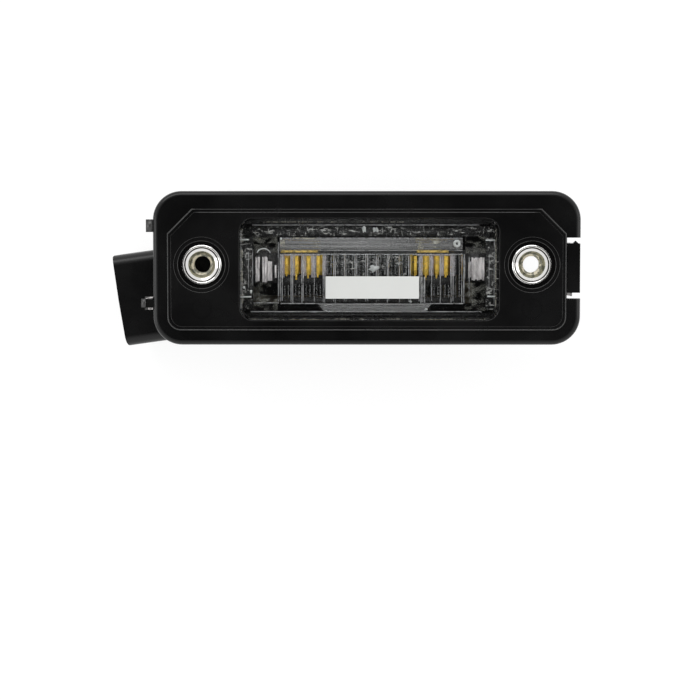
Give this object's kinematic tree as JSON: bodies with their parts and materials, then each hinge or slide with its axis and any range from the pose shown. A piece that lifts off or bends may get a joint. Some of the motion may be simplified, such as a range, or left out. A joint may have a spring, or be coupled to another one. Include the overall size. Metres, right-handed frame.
{
  "type": "number plate lamp",
  "caption": "Flanged black car number plate lamp: clear fluted lens over a festoon bulb, screw sleeves, snap hook, ribbed housing and a slanted plug socket.",
  "frame": {"origin": "midway between the two screw holes, on the rear face of the flange, which seats on the tailgate", "axes": "+X along the flange, away from the plug socket; +Y across the flange, up in the front view; +Z out of the lens"},
  "size_m": [0.102, 0.0341, 0.0242],
  "materials": {
    "black_plastic": "satin moulded black",
    "clear_plastic": "clear polished",
    "white_print": "plain white",
    "black_rubber": "soft matte",
    "nickel": "bright nickel plate",
    "spring_steel": "bright strip",
    "brass_strip": "tinned brass",
    "gold_cap": "bright brass",
    "bulb_clear": "clear glass",
    "tungsten": "drawn wire"
  },
  "bodies": {
    "root": {"front_frame": "black_plastic", "lens": "clear_plastic", "lens_label": "white_print", "lens_seal": "black_rubber", "rear_housing": "black_plastic", "sleeve_left": "nickel", "sleeve_right": "nickel", "latch_spring": "spring_steel", "edge_clip": "spring_steel", "contact_left": "spring_steel", "contact_right": "spring_steel", "terminal_near": "brass_strip", "terminal_far": "brass_strip", "rivet_left": "brass_strip", "rivet_right": "brass_strip", "bulb_glass": "bulb_clear", "cap_left": "gold_cap", "cap_right": "gold_cap", "filament": "tungsten", "lead_left": "tungsten", "lead_right": "tungsten"}
  },
  "joints": []
}
